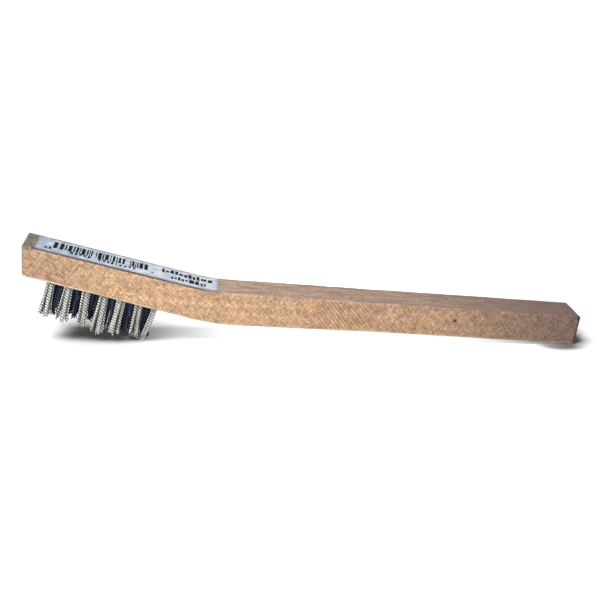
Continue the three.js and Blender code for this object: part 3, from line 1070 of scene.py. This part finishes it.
def shading_net(name, middle, reach, least):
    """A small graded net close over the floor, which deepens the shadow under part of the brush. Its
    middle lets the least light through and its rim lets all of it through."""
    turns = [2 * math.pi * n / NET_SIDES for n in range(NET_SIDES)]
    points = [middle]
    for turn in turns:
        x = middle[0] + reach[0] * math.cos(turn)
        y = middle[1] + reach[1] * math.sin(turn)
        points.append((x, y, middle[2]))
    faces = [(0, n, n % NET_SIDES + 1) for n in range(1, NET_SIDES + 1)]
    mesh = mesh_of(name + "_mesh", points, faces)
    set_attributes(mesh, weave=[1.0] + [0.0] * NET_SIDES)
    s = Shader(name)
    open_weave = s.ramp(s.attribute("weave"), 0.0, 0.7, 1.0, least)
    clear = s.node("ShaderNodeBsdfTransparent")
    s.feed(clear.inputs["Color"], open_weave)
    s.feed(s.tree.nodes["Material Output"].inputs["Surface"], clear.outputs[0])
    piece = new_object(name, mesh, [s.material])
    piece.visible_camera = piece.visible_diffuse = piece.visible_glossy = False
    return piece


def group_of(name, pieces):
    made = bpy.data.collections.new(name)
    for piece in pieces:
        made.objects.link(piece)
    return made


WALLS = 0.5
CEILING = 0.04
WALL_TOP, CEILING_EDGE = 0.34, 0.6  # heights on the sphere of directions, between which one fades
OVERHEAD_POWER = 0.85
OVERHEAD_AT = (-0.12, 0.02, 0.35)
OVERHEAD_AIM = (-0.06, 0.0, 0.0)
OVERHEAD_SIZE = (0.22, 0.22)
KEY_POWER = 0.82
KEY_AT = (-0.10, -0.25, 0.12)
KEY_AIM = (-0.03, 0, 0.02)
KEY_SIZE = (0.12, 0.10)
FLOOR_SUN = 7.5
FLOOR_SUN_FROM = (-0.55, -0.13, 1)
FLOOR_SUN_ANGLE = math.radians(32)
HANDLE_WASH_POWER = 20.0
HANDLE_WASH_X = 0.0153
HANDLE_WASH_HEIGHT = 0.5
HANDLE_WASH_CONE = math.radians(15.5)  # its edge falls at the foot of the last tufts
HANDLE_WASH_BLEND = 0.15
HANDLE_WASH_RADIUS = 0.02


def studio_world():
    """White walls under a dim ceiling, so that metal has something dark to reflect."""
    world = bpy.data.worlds.new("studio")
    world.use_nodes = True
    nodes, links = world.node_tree.nodes, world.node_tree.links
    direction = nodes.new("ShaderNodeSeparateXYZ")
    links.new(nodes.new("ShaderNodeTexCoord").outputs["Generated"], direction.inputs[0])
    fade = nodes.new("ShaderNodeMapRange")
    for socket, value in zip(fade.inputs[1:5], (WALL_TOP, CEILING_EDGE, WALLS, CEILING)):
        socket.default_value = value
    links.new(direction.outputs["Z"], fade.inputs[0])
    links.new(fade.outputs[0], nodes["Background"].inputs["Strength"])
    nodes["Background"].inputs["Color"].default_value = (1.0, 1.0, 1.0, 1.0)
    bpy.context.scene.world = world


def lighting(floor_piece, nets):
    """A soft box over the head and a key beside the camera light the brush. Two lamps for the floor
    alone keep it white, and one of them reaches under the handle. The nets shade the floor only."""
    studio_world()
    staged = (floor_piece, *nets)
    meshes = [p for p in bpy.context.scene.objects if p.type == "MESH"]
    brush = group_of("brush", [p for p in meshes if p not in staged])
    wires = [p for p in brush.objects if p.name.startswith("wire_tuft_")]
    inner_wires = group_of("inner_wires", [p for p in wires if not p.name.endswith("_7")])
    ground = group_of("ground", [floor_piece])
    overhead = soft_box("overhead", OVERHEAD_AT, OVERHEAD_AIM, OVERHEAD_SIZE, OVERHEAD_POWER)
    key = soft_box("key", KEY_AT, KEY_AIM, KEY_SIZE, KEY_POWER)
    for lamp in (overhead, key):
        lamp.light_linking.receiver_collection = brush
        lamp.light_linking.blocker_collection = brush
    floor_sun = placed_lamp("floor_sun", "SUN", FLOOR_SUN, FLOOR_SUN_FROM, (0, 0, 0))
    floor_sun.data.angle = FLOOR_SUN_ANGLE
    wash_at = (HANDLE_WASH_X, 0, HANDLE_WASH_HEIGHT)
    handle_wash = placed_lamp("handle_wash", "SPOT", HANDLE_WASH_POWER, wash_at, (HANDLE_WASH_X, 0, 0))
    handle_wash.data.spot_size = HANDLE_WASH_CONE
    handle_wash.data.spot_blend = HANDLE_WASH_BLEND
    handle_wash.data.shadow_soft_size = HANDLE_WASH_RADIUS
    handle_wash.light_linking.blocker_collection = inner_wires
    for lamp in (floor_sun, handle_wash):
        lamp.light_linking.receiver_collection = ground
        lamp.data.cycles.max_bounces = 0
    bpy.context.scene.view_settings.view_transform = "Standard"


CAMERA_LENS = 50.0
SENSOR_WIDTH = 36.0
CAMERA_DISTANCE = 296.3 * MM
CAMERA_AZIMUTH = math.radians(-7.85)  # from behind -Y, towards -X
CAMERA_ELEVATION = math.radians(23.1)
CAMERA_ROLL = math.radians(3.73)
AIM_FROM_MIDDLE = (-4.53 * MM, 0.0, -3.6 * MM)


def camera():
    low, high = cad_bounds
    aim = (Vector(low) + Vector(high)) / 2 + Vector(AIM_FROM_MIDDLE)
    ahead = Vector((
        -math.sin(CAMERA_AZIMUTH) * math.cos(CAMERA_ELEVATION),
        math.cos(CAMERA_AZIMUTH) * math.cos(CAMERA_ELEVATION),
        -math.sin(CAMERA_ELEVATION),
    ))
    data = bpy.data.cameras.new("camera")
    data.lens = CAMERA_LENS
    data.sensor_width = SENSOR_WIDTH
    data.clip_start = 0.01
    made = bpy.data.objects.new("camera", data)
    bpy.context.scene.collection.objects.link(made)
    upright = ahead.to_track_quat("-Z", "Y").to_matrix().to_4x4()
    made.matrix_world = (
        Matrix.Translation(aim - ahead * CAMERA_DISTANCE) @ upright @ Matrix.Rotation(CAMERA_ROLL, 4, "Z")
    )
    bpy.context.scene.camera = made


camera()
wooden_block()
paper_label()
wire_tufts()
staples()
lighting(floor(), [shading_net("head_net", *HEAD_NET), shading_net("foot_net", *FOOT_NET)])
